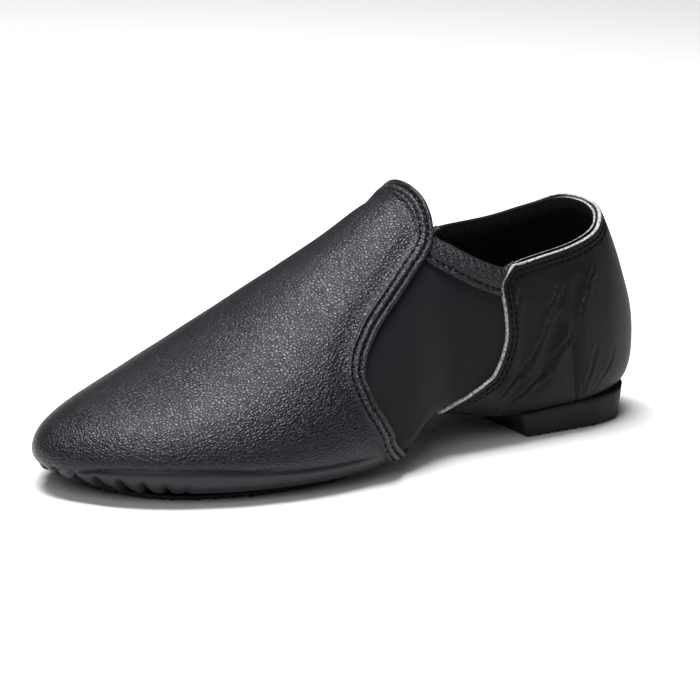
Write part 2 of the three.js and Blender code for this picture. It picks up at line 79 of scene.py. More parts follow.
# Sewing and sole pattern
STITCH_PITCH = 2.7 * MM
STITCH_LENGTH = 2.1 * MM
THREAD_WIDTH = 0.5 * MM
SEAM_ROWS = (2.2 * MM, 4.7 * MM)
COUNTER_ROWS = (2.4 * MM, 4.2 * MM)
SEAM_PUFF = 1.05 * MM
SEAM_FURROW = 0.95 * MM
SEAM_HOLLOW = 0.42 * MM
SEAM_SHOULDER = (4.9 * MM, 6.9 * MM)
HOLLOW_PLACE = 8.6 * MM
HOLLOW_WIDTH = 3.2 * MM
COUNTER_FURROW = 0.35 * MM
FURROW_WIDTH = 0.5 * MM
GATHER_PITCH = 3.4 * MM
DOT_PITCH = 2.8 * MM
DOT_HEIGHT = 0.55 * MM


def table(names, rows):
    """Columns of a table by name, as arrays."""
    return dict(zip(names.split(), np.array(rows, float).T))


# Outline of the foot space from above, in shares of the ball width
PLAN = table("station half centre", [
    (0, 0, 0), (0.02, 0.172, 0), (0.05, 0.242, 0), (0.095, 0.293, 0),
    (0.15, 0.316, 0), (0.263, 0.319, -0.007), (0.386, 0.337, -0.021),
    (0.488, 0.422, -0.034), (0.591, 0.48, -0.035), (0.683, 0.5, -0.021),
    (0.754, 0.488, -0.005), (0.826, 0.444, 0.012), (0.887, 0.374, 0.023),
    (0.939, 0.278, 0.036), (0.974, 0.172, 0.045), (1, 0, 0.051),
])

# Height of the seat, in shares of the heel rise, arch rise and toe spring
SEAT = table("station heel arch spring", [
    (0, 1, 0, 0), (0.028, 0.985, 0, 0), (0.14, 0.85, 0, 0), (0.217, 0.7, 0.01, 0),
    (0.283, 0.4, 0.26, 0), (0.345, 0.1, 0.7, 0), (0.396, 0, 0.93, 0),
    (0.447, 0, 0.62, 0), (0.488, 0, 0.16, 0), (0.54, 0, 0.01, 0), (0.57, 0, 0, 0),
    (0.816, 0, 0, 0), (0.887, 0, 0, 0.1), (0.939, 0, 0, 0.4), (1, 0, 0, 1),
])

# Sections: heights in shares of the instep height, lean in shares of the ball
# width, then the roundness under the foot and on the outer and inner side
SECTIONS = table("station widest lower top lean under outer inner", [
    (0, 0.29, 0, 0.29, 0, 2.4, 2.2, 2.2),
    (0.003, 0.29, 0.5, 0.412, 0, 2.4, 2.2, 2.2),
    (0.0095, 0.286, 0.78, 0.49, 0, 2.5, 2.2, 2.2),
    (0.02, 0.279, 0.93, 0.56, 0, 2.6, 2.2, 2.2),
    (0.032, 0.276, 0.975, 0.635, 0, 3, 2.2, 2.2),
    (0.057, 0.27, 1, 0.81, 0, 3.6, 2.2, 2.2),
    (0.085, 0.268, 1, 0.955, 0, 4.2, 2.2, 2.2),
    (0.12, 0.267, 1, 1.06, 0, 4.8, 2.2, 2.2),
    (0.181, 0.267, 1, 1.136, 0.012, 4.8, 2.2, 2.2),
    (0.283, 0.279, 1, 1.16, 0.023, 3.8, 2.2, 2.2),
    (0.345, 0.279, 1, 1.1, 0.035, 2.9, 2.1, 2.2),
    (0.388, 0.267, 1, 1.005, 0.041, 2.8, 2, 2.3),
    (0.437, 0.235, 1, 0.927, 0.049, 3, 1.9, 2.2),
    (0.488, 0.18, 1, 0.836, 0.053, 4.6, 1.85, 2.2),
    (0.56, 0.132, 1, 0.717, 0.062, 5.2, 1.8, 2.25),
    (0.611, 0.11, 1, 0.631, 0.064, 5.2, 1.8, 2.4),
    (0.683, 0.094, 1, 0.514, 0.062, 5, 1.85, 2.45),
    (0.754, 0.085, 1, 0.42, 0.047, 4.8, 1.9, 2.35),
    (0.826, 0.084, 1, 0.34, 0.029, 4.4, 2, 2.15),
    (0.887, 0.088, 1, 0.281, 0.019, 3.4, 2.05, 2),
    (0.939, 0.087, 0.95, 0.224, 0.007, 2.8, 2.1, 2),
    (0.974, 0.09, 0.74, 0.174, 0.002, 2.6, 2.2, 2.2),
    (1, 0.098, 0, 0.098, 0, 2.4, 2.2, 2.2),
])

# Collar line in side view: behind its lowest point, and in front of it
COLLAR_REAR = table("station height", [
    (-0.15, 0.885), (-0.02, 0.885), (0.045, 0.885), (0.0625, 0.875), (0.0824, 0.84),
    (0.1, 0.812), (0.128, 0.79), (0.175, 0.762), (0.215, 0.747), (0.2576, 0.728),
    (0.272, 0.712), (0.283, 0.701),
])
COLLAR_FRONT = table("height station", [
    (0.701, 0.283), (0.713, 0.295), (0.754, 0.3287), (0.812, 0.3659), (0.845, 0.386),
    (0.864, 0.3915), (0.9, 0.3895), (0.945, 0.3865), (0.99, 0.3855), (1.03, 0.388),
    (1.06, 0.395), (1.09, 0.41), (1.19, 0.44),
])
COLLAR_TILT = table("station share", [
    (0, 0.6), (0.1, 0.45), (0.15, 0.25), (0.2, 0.45), (0.26, 0.85),
    (0.32, 1), (0.4, 1),
])

# Panel edges: turn is 0 under the foot and 1 at the ridge, on either side
VAMP_EDGE = table("turn station", [
    (0, 0.465), (0.2, 0.473), (0.32, 0.494), (0.42, 0.513), (0.49, 0.529),
    (0.55, 0.547), (0.6, 0.561), (0.645, 0.566), (0.68, 0.556), (0.705, 0.535),
    (0.7211, 0.516), (0.74, 0.479), (0.7556, 0.44), (0.7667, 0.4135), (0.7778, 0.3985),
    (0.7989, 0.386), (0.82, 0.365), (1, 0.345),
])
COUNTER_EDGE = table("turn station", [
    (0, 0.268), (0.06, 0.283), (0.14, 0.34), (0.21, 0.394), (0.26, 0.402),
    (0.31, 0.397), (0.36, 0.386), (0.411, 0.363), (0.454, 0.341), (0.487, 0.323),
    (0.503, 0.308), (0.52, 0.297), (0.551, 0.2885), (0.586, 0.2905), (0.622, 0.295),
    (0.64, 0.285), (0.665, 0.262), (0.7, 0.25), (1, 0.25),
])

# Outlines of the sole parts, in shares of their length and of the ball width
PAD_OUTLINE = table("along half centre", [
    (0, 0, -0.06), (0.02, 0.17, -0.055), (0.08, 0.3, -0.048), (0.2, 0.39, -0.036),
    (0.34, 0.42, -0.024), (0.48, 0.424, -0.01), (0.64, 0.4, 0.006),
    (0.78, 0.345, 0.02), (0.9, 0.245, 0.032), (0.97, 0.14, 0.038), (1, 0, 0.041),
])
HEEL_OUTLINE = table("along half centre", [
    (0, 0, 0), (0.03, 0.115, 0), (0.1, 0.2, 0), (0.25, 0.276, 0), (0.45, 0.303, 0),
    (0.7, 0.305, -0.003), (1, 0.3, -0.006),
])

# Width in millimetres from which a wrinkle is a soft wave that doesn't wear, and
# the small wave in the way of each wrinkle, in turns
BROAD_WRINKLE = 2.0
WRINKLE_WAVE = 0.0025

# Wrinkles of the heel leather: way by station and turn, positive on the outer
# side, then width and depth in millimetres
COUNTER_WRINKLES = [
    ([(0.1763, 0.6133), (0.1912, 0.5889), (0.2122, 0.5589), (0.2223, 0.54)], 0.8, 0.45),
    ([(0.1857, 0.6244), (0.2023, 0.5967), (0.2136, 0.5778)], 0.7, 0.35),
    ([(0.1206, 0.6511), (0.137, 0.6078), (0.1505, 0.5644)], 0.8, 0.4),
    ([(0.2267, 0.5333), (0.246, 0.5078), (0.2735, 0.4878), (0.2956, 0.4211)], 1.0, 0.45),
    ([(0.1697, 0.5356), (0.1981, 0.5089), (0.2267, 0.49), (0.2612, 0.4144), (0.2877, 0.3144)], 1.1, 0.6),
    ([(0.1606, 0.5333), (0.1568, 0.4956), (0.15, 0.36), (0.137, 0.2067)], 0.9, 0.55),
    ([(0.1161, 0.51), (0.1322, 0.47), (0.1406, 0.3489)], 1.0, 0.28),
    ([(0.0799, 0.5033), (0.1051, 0.4389), (0.1184, 0.3456)], 1.0, 0.16),
    ([(0.0455, 0.3833), (0.0611, 0.2844)], 0.9, 0.12),
    ([(0.2627, 0.6133), (0.272, 0.5822), (0.2767, 0.5533)], 0.8, 0.35),
    ([(0.19, 0.56), (0.215, 0.5), (0.245, 0.42), (0.27, 0.3)], 3.6, 0.5),
    ([(0.15, 0.62), (0.16, 0.53), (0.15, 0.4)], 3.2, 0.4),
    ([(0.25, 0.58), (0.262, 0.5), (0.28, 0.4)], 3.0, 0.35),
    ([(0.17, -0.62), (0.2, -0.56), (0.22, -0.47), (0.25, -0.36)], 1.1, 0.45),
    ([(0.12, -0.6), (0.14, -0.52), (0.15, -0.4)], 1.0, 0.4),
    ([(0.08, -0.5), (0.1, -0.42), (0.11, -0.33)], 1.0, 0.35),
    ([(0.2, -0.52), (0.23, -0.42), (0.26, -0.3)], 3.4, 0.45),
]

# Line where the leather of the toe folds under: height over the floor in
# millimetres along the shoe
FOLD_LINE = table("station height", [
    (0.5, 10), (0.617, 11.2), (0.667, 11.2), (0.737, 12.2), (0.8, 13.3), (0.86, 13.9),
    (0.912, 13.8), (0.945, 13.3), (0.97, 11.8), (0.985, 10.2), (1, 9.3),
])

# Pleats under the toe: bearing from the middle of the forefoot, in degrees
# from straight ahead and positive to the inner side, then depth in millimetres
PLEAT_CENTRE = (0.035 * BALL_WIDTH, HEEL_BACK + 0.76 * LAST_LENGTH)
PLEATS = [
    (-59, 0.7), (-50, 1.7), (-41, 2.4), (-32, 2.6), (-23, 2.8), (-14.5, 2.2), (-6, 1.7),
    (2, 2.0), (9.5, 1.6), (17, 2.2), (25, 1.7), (33, 2.0), (41, 1.6), (49, 1.3), (58, 0.7),
]


def smooth_curve(knots, values):
    """Monotone cubic curve through the knots.

    Each slope is the weighted harmonic mean of its neighbours' slopes."""
    width = np.diff(knots)
    slope = np.diff(values) / width
    tangent = np.zeros(len(knots))
    left, right = slope[:-1], slope[1:]
    near = 2 * width[1:] + width[:-1]
    far = width[1:] + 2 * width[:-1]
    same = left * right > 0
    tangent[1:-1][same] = ((near + far)[same] / (near[same] / left[same] + far[same] / right[same]))
    tangent[0] = end_tangent(width[0], width[1], slope[0], slope[1])
    tangent[-1] = end_tangent(width[-1], width[-2], slope[-1], slope[-2])

    def curve(at):
        """Value of the curve at a place."""
        at = np.clip(at, knots[0], knots[-1])
        i = np.clip(np.searchsorted(knots, at, side="right") - 1, 0, len(knots) - 2)
        t = (at - knots[i]) / width[i]
        ends = (1 + 2 * t) * (1 - t) ** 2 * values[i] + t * t * (3 - 2 * t) * values[i + 1]
        turns = t * (1 - t) ** 2 * tangent[i] - t * t * (1 - t) * tangent[i + 1]
        return ends + width[i] * turns

    return curve


def end_tangent(near, far, near_slope, far_slope):
    """Slope at an end, from the two nearest spans, kept from overshooting."""
    tangent = ((2 * near + far) * near_slope - near * far_slope) / (near + far)
    if tangent * near_slope <= 0:
        return 0.0
    if near_slope * far_slope <= 0 and abs(tangent) > 3 * abs(near_slope):
        return 3 * near_slope
    return tangent


def stretch(share):
    """Shares spread out near both ends, where the form is round."""
    return 2 / np.pi * np.arcsin(np.sqrt(np.clip(share, 0, 1)))


def unstretch(even):
    """The inverse of stretch."""
    return np.sin(np.pi * even / 2) ** 2


def column(rows, name, key="station"):
    """Smooth curve of one column over the stretched station."""
    curve = smooth_curve(stretch(rows[key]), rows[name])
    return lambda share: curve(stretch(share))


plan = {name: column(PLAN, name) for name in ("half", "centre")}
seat_share = {name: column(SEAT, name) for name in ("heel", "arch", "spring")}
section = {name: column(SECTIONS, name) for name in SECTIONS if name != "station"}
tilt_share = column(COLLAR_TILT, "share")
rear_height = smooth_curve(COLLAR_REAR["station"], COLLAR_REAR["height"])
front_station = smooth_curve(COLLAR_FRONT["height"], COLLAR_FRONT["station"])


def rise(station):
    """Height of the sole line over the floor: heel, arch and toe added up."""
    return (HEEL_RISE * seat_share["heel"](station) + ARCH_RISE * seat_share["arch"](station)
            + TOE_SPRING * seat_share["spring"](station))


def station_at(y):
    """Station of a place along the shoe."""
    return (y - HEEL_BACK) / LAST_LENGTH


def unit(vectors):
    """Vectors brought to length one."""
    return vectors / np.maximum(np.linalg.norm(vectors, axis=-1, keepdims=True), 1e-15)


def hump(value, middle, width):
    """1 at the middle, falling off to both sides over the width."""
    return np.exp(-((value - middle) / width) ** 2)


def turn_of(angle):
    """Turn of an angle: 0 under the foot and 1 at the ridge, on either side."""
    return 1 - np.abs(np.mod(angle, 2 * np.pi) / np.pi - 1)


def run_length(line):
    """Length along a line up to each of its points."""
    return np.concatenate([[0], np.cumsum(np.linalg.norm(np.diff(line, axis=0), axis=1))])


def read_off(at, places, values):
    """Columns of values read off along a line."""
    return np.stack([np.interp(at, places, one) for one in values.T], -1)


def foot_point(station, angle):
    """Point of the foot space: superellipse sections, half under the widest line and half over it."""
    station, angle = np.broadcast_arrays(np.asarray(station, float), np.asarray(angle, float))
    sine, cosine = np.sin(angle), np.cos(angle)
    under = cosine > 0
    widest = FLOOR_SEAT + INSTEP_HEIGHT * section["widest"](station)
    side = np.where(sine >= 0, section["outer"](station), section["inner"](station))
    power = 2 / np.where(under, section["under"](station), side)
    across = np.sign(sine) * np.abs(sine) ** power
    upright = np.abs(cosine) ** power
    depth = section["lower"](station) * (widest - FLOOR_SEAT - rise(station))
    crown = FLOOR_SEAT + INSTEP_HEIGHT * section["top"](station) - widest
    lean = np.where(under, 0, BALL_WIDTH * section["lean"](station) * upright ** 1.5)
    x = BALL_WIDTH * (plan["centre"](station) - plan["half"](station) * across) + lean
    z = np.where(under, widest - depth * upright, widest + crown * upright)
    return np.stack([x, HEEL_BACK + LAST_LENGTH * station, z], -1)


def form_normal(station, angle):
    """Outward direction: the way round the section crossed with the way along the shoe."""
    station, angle = np.broadcast_arrays(np.asarray(station, float), np.asarray(angle, float))
    even = stretch(np.clip(station, 2e-6, 1 - 2e-6))
    along = (foot_point(unstretch(np.minimum(even + 0.002, 1)), angle)
             - foot_point(unstretch(np.maximum(even - 0.002, 0)), angle))
    around = foot_point(station, angle + 0.001) - foot_point(station, angle - 0.001)
    normal = unit(np.cross(around, along))
    normal = np.where((station < 1e-5)[..., None], [0.0, -1.0, 0.0], normal)
    return np.where((station > 1 - 1e-5)[..., None], [0.0, 1.0, 0.0], normal)


def form(station, angle, depth):
    """Point a given depth outside the foot space, along its outward direction."""
    return foot_point(station, angle) + np.asarray(depth)[..., None] * form_normal(station, angle)


def collar_height(points):
    """Height in shares of the instep height, without the collar's rise to the inner side."""
    share = tilt_share(station_at(points[..., 1]))
    inward = (points[..., 0] / (COLLAR_HALF * BALL_WIDTH) + 1) / 2
    return (points[..., 2] - FLOOR_SEAT - COLLAR_INNER_RISE * share * inward) / INSTEP_HEIGHT


def front_kept(station, angle, depth):
    """Positive in front of the front part of the collar line."""
    points = form(station, angle, depth)
    height = np.maximum(collar_height(points), COLLAR_FRONT["height"][0])
    return station_at(points[..., 1]) - front_station(height)


def rear_kept(station, angle, depth):
    """Positive under the rear part of the collar line."""
    points = form(station, angle, depth)
    return rear_height(station_at(points[..., 1])) - collar_height(points)


def crossing(kept, inside, outside, angle, depth):
    """Station where kept turns negative between a station inside and one outside, by halving."""
    inside = np.full(angle.shape, float(inside))
    outside = np.full(angle.shape, float(outside))
    whole = kept(outside, angle, depth) > 0
    for _ in range(26):
        middle = (inside + outside) / 2
        good = kept(middle, angle, depth) > 0
        inside = np.where(good, middle, inside)
        outside = np.where(good, outside, middle)
    return np.where(whole, outside, inside)


def front_limit(angle, depth):
    """Rearmost station of the front half, along each angle."""
    return crossing(front_kept, 1, COLLAR_FRONT["station"][0], angle, depth)


def rear_limit(angle, depth, foremost=COLLAR_REAR["station"][-1]):
    """Foremost station under the rear part of the collar line, up to the one given."""
    return crossing(rear_kept, 0, foremost, angle, depth)


def edge_station(rows, angle):
    """Station of a panel edge at an angle, the same on both sides."""
    return smooth_curve(rows["turn"], rows["station"])(turn_of(angle))


def larger(a, b, blend):
    """The larger of two, rounded off where they are close."""
    gap = np.maximum(blend - np.abs(a - b), 0)
    return np.maximum(a, b) + gap * gap / (4 * blend)


def ramp(value, low, high):
    """0 below low, 1 above high, and smooth between them."""
    t = np.clip((value - low) / (high - low), 0, 1)
    return t * t * (3 - 2 * t)


def section_angles(count):
    """Angles round the section, closer together where the collar line runs slantwise."""
    fine = np.linspace(0, 2 * np.pi, 4001)
    weight = 1 + 3.5 * hump(turn_of(fine), 0.72, 0.06)
    total = np.concatenate([[0], np.cumsum((weight[1:] + weight[:-1]) / 2)])
    return np.interp(np.arange(count) / count * total[-1], total, fine)


def polar_stations(pole, limit, rows, crowd):
    """Stations on rows from a pole out to a limit, closer together near the limit.

    The pole's own row is left out."""
    share = 1 - (1 - np.arange(1, rows + 1) / rows) ** crowd
    start, end = stretch(pole), stretch(limit)
    return unstretch(start + (end[None, :] - start) * share[:, None])


def line_distance(points, line, closed=True):
    """Distance of each point to a line: the least of those to the nearest place on each span."""
    start = line if closed else line[:-1]
    end = np.roll(line, -1, axis=0) if closed else line[1:]
    span = end - start
    square = np.maximum((span ** 2).sum(-1), 1e-18)
    flat = points.reshape(-1, 3)
    nearest = np.empty(len(flat))
    for first in range(0, len(flat), 4000):
        part = flat[first:first + 4000, None, :] - start[None]
        t = np.clip((part * span).sum(-1) / square, 0, 1)
        nearest[first:first + 4000] = ((part - t[..., None] * span) ** 2).sum(-1).min(1)
    return np.sqrt(nearest).reshape(points.shape[:-1])


def way_over_form(nodes, phase):
    """Line over the leather through given stations and turns, with a small wave in its turn."""
    nodes = np.array(nodes, float)
    knots = np.linspace(0, 1, len(nodes))
    at = np.linspace(0, 1, 60)

    def run(values):
        """Values at every place of the line."""
        return smooth_curve(knots, values)(at) if len(values) > 2 else np.interp(at, knots, values)

    station, turn = run(nodes[:, 0]), run(nodes[:, 1])
    turn = turn + WRINKLE_WAVE * (np.sin(9 * np.pi * at + phase) + 0.6 * np.sin(21 * np.pi * at + 2 * phase))
    return form(station, np.pi * turn, LAYER_OUT)


def wrinkle(points, way, width, depth):
    """Trough along a way with a low ridge on each side, and the share of wear: a thin line in it."""
    distance = line_distance(points, way, closed=False) / width
    fold = 0.5 * depth * hump(distance, 1.4, 0.7) - depth * hump(distance, 0.0, 0.75)
    return fold, hump(distance, 0.0, 0.5)


def round_over(distance, radius):
    """Drop of a rounded edge: a quarter circle within its radius."""
    inward = np.clip(radius - distance, 0, radius)
    return radius - np.sqrt(radius ** 2 - inward ** 2)


def grid_index(rows, columns, closed=True):
    """Point numbers of a grid, and those of each point's neighbour in the next column."""
    index = np.arange(rows * columns).reshape(rows, columns)
    return (index, np.roll(index, -1, axis=1)) if closed else (index[:, :-1], index[:, 1:])


def smooth_mesh(name, points, faces):
    """Mesh of points and faces, shaded smooth."""
    mesh = bpy.data.meshes.new(name)
    mesh.from_pydata(points.tolist(), [], faces)
    mesh.polygons.foreach_set("use_smooth", np.ones(len(faces), bool))
    mesh.update()
    return mesh


def with_ends(grid):
    """Loops with one more at each end, drawn in to the middle of the last."""
    first, last = (np.repeat(end.mean(1, keepdims=True), grid.shape[1], 1) for end in (grid[:1], grid[-1:]))
    return np.concatenate([first, grid, last])


def edge_walls(limit, angle, outer, inner, shares):
    """Rows over the thickness of an edge, from its outer depth to its inner one."""
    return [form(limit, angle, outer + (inner - outer) * share) for share in shares]


def surface(name, grid, material, pole=None, closed=True, flip=False, marks=None):
    """Mesh of a grid of points with quads between its rows and columns, and a fan round the pole.

    Marks are named values for each grid point."""
    rows, columns = grid.shape[:2]
    here, after = grid_index(rows, columns, closed)
    quads = np.stack([here[:-1], after[:-1], after[1:], here[1:]], -1).reshape(-1, 4)
    points = grid.reshape(-1, 3)
    fans = np.empty((0, 3), int)
    if pole is not None:
        points = np.vstack([points, pole])
        top = np.full(here.shape[1], len(points) - 1)
        fans = np.stack([top, after[0], here[0]], -1)
    if flip:
        quads, fans = quads[:, ::-1], fans[:, ::-1]
    mesh = smooth_mesh(name, points, quads.tolist() + fans.tolist())
    for label, values in (marks or {}).items():
        attribute = mesh.attributes.new(label, "FLOAT", "POINT")
        flat = np.zeros(len(points), np.float32)
        flat[:rows * columns] = np.asarray(values, np.float32).ravel()
        attribute.data.foreach_set("value", flat)
    mesh.validate()
    return place(name, mesh, material)


def add_object(name, data):
    """New object in the scene."""
    made = bpy.data.objects.new(name, data)
    bpy.context.scene.collection.objects.link(made)
    return made


def place(name, mesh, material):
    """Object of a mesh that rides on the shoe."""
    mesh.materials.append(material)
    piece = add_object(name, mesh)
    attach(piece, "root")
    return piece


def repeated(name, template, face_sets, centres, frames, material):
    """One mesh of many copies of a small shape, each turned into its own three directions."""
    points = centres[:, None, :] + np.einsum("vk,nkd->nvd", template, frames)
    step = len(template) * np.arange(len(centres))[:, None, None]
    corners = []
    for faces in face_sets:
        corners += (faces[None] + step).reshape(-1, faces.shape[1]).tolist()
    return place(name, smooth_mesh(name, points.reshape(-1, 3), corners), material)


# Shader helpers
def add_node(tree, kind, inputs=None, **settings):
    """Node with its inputs filled in: a socket is linked, and anything else is the value."""
    made = tree.nodes.new(kind)
    for name, value in settings.items():
        setattr(made, name, value)
    for name, value in (inputs or {}).items():
        if isinstance(value, bpy.types.NodeSocket):
            tree.links.new(value, made.inputs[name])
        else:
            made.inputs[name].default_value = value
    return made


def maths(tree, operation, a, b=0.0):
    """Result of one sum."""
    return add_node(tree, "ShaderNodeMath", {0: a, 1: b}, operation=operation).outputs[0]


def spread(tree, value, low, high, to_low, to_high):
    """Value moved from one range to another, and kept inside it."""
    keys = {"Value": value, "From Min": low, "From Max": high, "To Min": to_low, "To Max": to_high}
    return add_node(tree, "ShaderNodeMapRange", keys).outputs[0]


def mixed(tree, share, first, second):
    """Two colours mixed by a share."""
    return add_node(tree, "ShaderNodeMix", {0: share, 6: first, 7: second}, data_type="RGBA").outputs[2]


def own_place(tree):
    """Place on the piece in its own coordinates."""
    return add_node(tree, "ShaderNodeTexCoord").outputs["Object"]


def noise(tree, at, scale, detail):
    """Noise over a place."""
    return add_node(tree, "ShaderNodeTexNoise", {"Vector": at, "Scale": scale, "Detail": detail})


def vector_maths(tree, operation, inputs):
    """Result of one sum of vectors."""
    return add_node(tree, "ShaderNodeVectorMath", inputs, operation=operation).outputs[0]


def new_group(name, inputs, outputs):
    """Empty shader group with named number inputs and outputs."""
    tree = bpy.data.node_groups.new(name, "ShaderNodeTree")
    for label, value in inputs.items():
        socket = tree.interface.new_socket(name=label, in_out="INPUT", socket_type="NodeSocketFloat")
        socket.default_value = value
    for label in outputs:
        tree.interface.new_socket(name=label, in_out="OUTPUT", socket_type="NodeSocketFloat")
    return tree, tree.nodes.new("NodeGroupInput").outputs, tree.nodes.new("NodeGroupOutput").inputs


def grain_group():
    """Leather grain: pebbles between creases, the borders of cells warped by noise, over a finer grain."""
    tree, given, result = new_group("leather_grain", {"Cells per metre": 720.0}, ["Height", "Patches"])
    at = own_place(tree)
    swirl = noise(tree, at, 900.0, 2.0)
    centred = vector_maths(tree, "SUBTRACT", {0: swirl.outputs["Color"], 1: (0.5, 0.5, 0.5)})
    shift = vector_maths(tree, "SCALE", {0: centred, "Scale": 0.0007})
    warped = vector_maths(tree, "ADD", {0: at, 1: shift})
    cells = add_node(tree, "ShaderNodeTexVoronoi", {"Vector": warped, "Scale": given["Cells per metre"]},
                     feature="DISTANCE_TO_EDGE")
    pebble = spread(tree, cells.outputs["Distance"], 0.0, 0.34, 0.0, 1.0)
    round_pebble = maths(tree, "POWER", pebble, 0.6)
    fine = noise(tree, warped, maths(tree, "MULTIPLY", given["Cells per metre"], 1.7), 2.0)
    both = maths(tree, "ADD", round_pebble, maths(tree, "MULTIPLY", fine.outputs["Fac"], 0.8))
    tree.links.new(maths(tree, "MULTIPLY", both, 0.6), result["Height"])
    tree.links.new(noise(tree, at, 55.0, 3.0).outputs["Fac"], result["Patches"])
    return tree


def cloth_group():
    """Knitted cloth: small round cells make the loops, with a little fibre noise over them."""
    inputs = {"Loops per metre": 1400.0, "Fibre": 0.5}
    tree, given, result = new_group("cloth_knit", inputs, ["Height", "Patches"])
    at = own_place(tree)
    loops = add_node(tree, "ShaderNodeTexVoronoi", {"Vector": at, "Scale": given["Loops per metre"]})
    fibre = noise(tree, at, 2600.0, 2.0)
    fibre_part = maths(tree, "MULTIPLY", fibre.outputs["Fac"], given["Fibre"])
    tree.links.new(maths(tree, "ADD", loops.outputs["Distance"], fibre_part), result["Height"])
    tree.links.new(noise(tree, at, 30.0, 4.0).outputs["Fac"], result["Patches"])
    return tree


def specks_group(name, scale, detail, low, high, least):
    """A mark broken up by a fine noise, with a least share of it left between the specks."""
    tree, given, result = new_group(name, {"Mark": 0.0}, ["Share"])
    specks = noise(tree, own_place(tree), scale, detail)
    share = spread(tree, specks.outputs["Fac"], low, high, least, 1.0)
    tree.links.new(maths(tree, "MULTIPLY", share, given["Mark"]), result["Share"])
    return tree


# Tint of the highlights, colours of pale fibres and pale specks, and how much rougher leather is in its
# creases. The fibres are cut edges, and on the lining near the rim also painted light; the specks are wear,
# and on the vamp's seam ridges also a painted highlight
COOL = (0.9, 0.88, 1.0, 1.0)
PALE_FIBRE_AND_LIGHT = (0.5, 0.5, 0.51, 1.0)
WEAR_AND_HIGHLIGHT_SPECK = (0.13, 0.13, 0.135, 1.0)
CREASE_ROUGHER = 0.16
GRAIN = grain_group()
KNIT = cloth_group()
FIBRES_AND_LIGHT = specks_group("fibre_and_light_specks", 1300.0, 3.0, 0.38, 0.58, 0.3)
WEAR_AND_HIGHLIGHT = specks_group("wear_and_highlight_specks", 1500.0, 2.0, 0.5, 0.66, 0.0)


def new_material(name, **fixed):
    """Material with constant sockets of its shader set, its node tree and the shader."""
    material = bpy.data.materials.new(name)
    material.use_nodes = True
    tree = material.node_tree
    shader = tree.nodes["Principled BSDF"]
    for label, value in fixed.items():
        shader.inputs[label.replace("_", " ")].default_value = value
    return material, tree, shader


def mark_of(tree, label):
    """Value of a named mark of the mesh."""
    return add_node(tree, "ShaderNodeAttribute", attribute_name=label).outputs["Fac"]


def stuff(name, group, cells, dark, light, relief, rough, by_height=False, patches=(0.35, 0.65),
          marks=(), **fixed):
    """Material with a grain or a knit in its bump and slow patches in its colour.

    Cells are counted in a metre. Its roughness runs from the creases to the pebbles, or else from
    one kind of patch to the other. Marks smooth the grain or lighten the colour."""
    material, tree, shader = new_material(name, Specular_Tint=COOL, **fixed)
    pattern = add_node(tree, "ShaderNodeGroup", {0: cells}, node_tree=group)
    height, patch = pattern.outputs["Height"], pattern.outputs["Patches"]
    if "smooth" in marks:
        kept = spread(tree, mark_of(tree, "smooth"), 0.0, 1.0, 1.0, 0.3)
        height = maths(tree, "MULTIPLY", height, kept)
    colour = mixed(tree, spread(tree, patch, *patches, 0.0, 1.0), dark, light)
    # Pale specks are wear, and on the vamp's seam ridges partly a painted highlight; pale fibres are cut
    # edges, and on the lining near the rim partly painted light
    for label, specks, pale in (("wear_and_highlight", WEAR_AND_HIGHLIGHT, WEAR_AND_HIGHLIGHT_SPECK), ("fibres_and_rim_light", FIBRES_AND_LIGHT, PALE_FIBRE_AND_LIGHT)):
        if label in marks:
            broken = add_node(tree, "ShaderNodeGroup", {"Mark": mark_of(tree, label)}, node_tree=specks)
            colour = mixed(tree, broken.outputs["Share"], colour, pale)
    source, low, high = (height, 0.0, 1.0) if by_height else (patch, 0.3, 0.7)
    bump = add_node(tree, "ShaderNodeBump", {"Height": height, "Distance": relief, "Strength": 1.0})
    tree.links.new(colour, shader.inputs["Base Color"])
    tree.links.new(spread(tree, source, low, high, *rough), shader.inputs["Roughness"])
    tree.links.new(bump.outputs[0], shader.inputs["Normal"])
    return material


def leather(name, dark, light, cells, relief, gloss, shine, coat, marks=()):
    """Leather, rougher in the creases of its grain than on the pebbles."""
    return stuff(name, GRAIN, cells, dark, light, relief, (gloss + CREASE_ROUGHER, gloss), by_height=True,
                 marks=marks, Specular_IOR_Level=shine, Coat_Weight=coat, Coat_Roughness=0.3)


def cloth(name, dark, light, loops, relief, sheen, shine, marks=()):
    """Matte knitted cloth."""
    return stuff(name, KNIT, loops, dark, light, relief, (0.78, 0.9), marks=marks,
                 Specular_IOR_Level=shine, Sheen_Weight=sheen, Sheen_Roughness=0.5)


vamp_leather = leather(
    "vamp_leather", (0.0035, 0.0035, 0.0045, 1), (0.006, 0.006, 0.0072, 1), 860.0, 0.27 * MM, 0.29,
    shine=0.36, coat=0.04, marks=("smooth", "wear_and_highlight"))
counter_leather = leather(
    "counter_leather", (0.003, 0.003, 0.0035, 1), (0.006, 0.006, 0.0066, 1), 1000.0, 0.16 * MM, 0.42,
    shine=0.15, coat=0.02, marks=("wear_and_highlight", "fibres_and_rim_light"))
binding_leather = leather(
    "binding_leather", (0.004, 0.004, 0.0046, 1), (0.008, 0.008, 0.0088, 1), 1000.0, 0.34 * MM, 0.36,
    shine=0.4, coat=0.05)
arch_fabric = cloth(
    "arch_fabric", (0.0062, 0.006, 0.008, 1), (0.0074, 0.0072, 0.0092, 1), 1500.0, 0.04 * MM,
    sheen=0.08, shine=0.15)
lining_fabric = cloth(
    "lining_fabric", (0.0015, 0.0015, 0.0018, 1), (0.005, 0.005, 0.0056, 1), 900.0, 0.2 * MM,
    sheen=0.03, shine=0.12, marks=("fibres_and_rim_light",))
insole_fabric = cloth(
    "insole_fabric", (0.002, 0.002, 0.0023, 1), (0.005, 0.005, 0.0054, 1), 700.0, 0.15 * MM,
    sheen=0.03, shine=0.12)
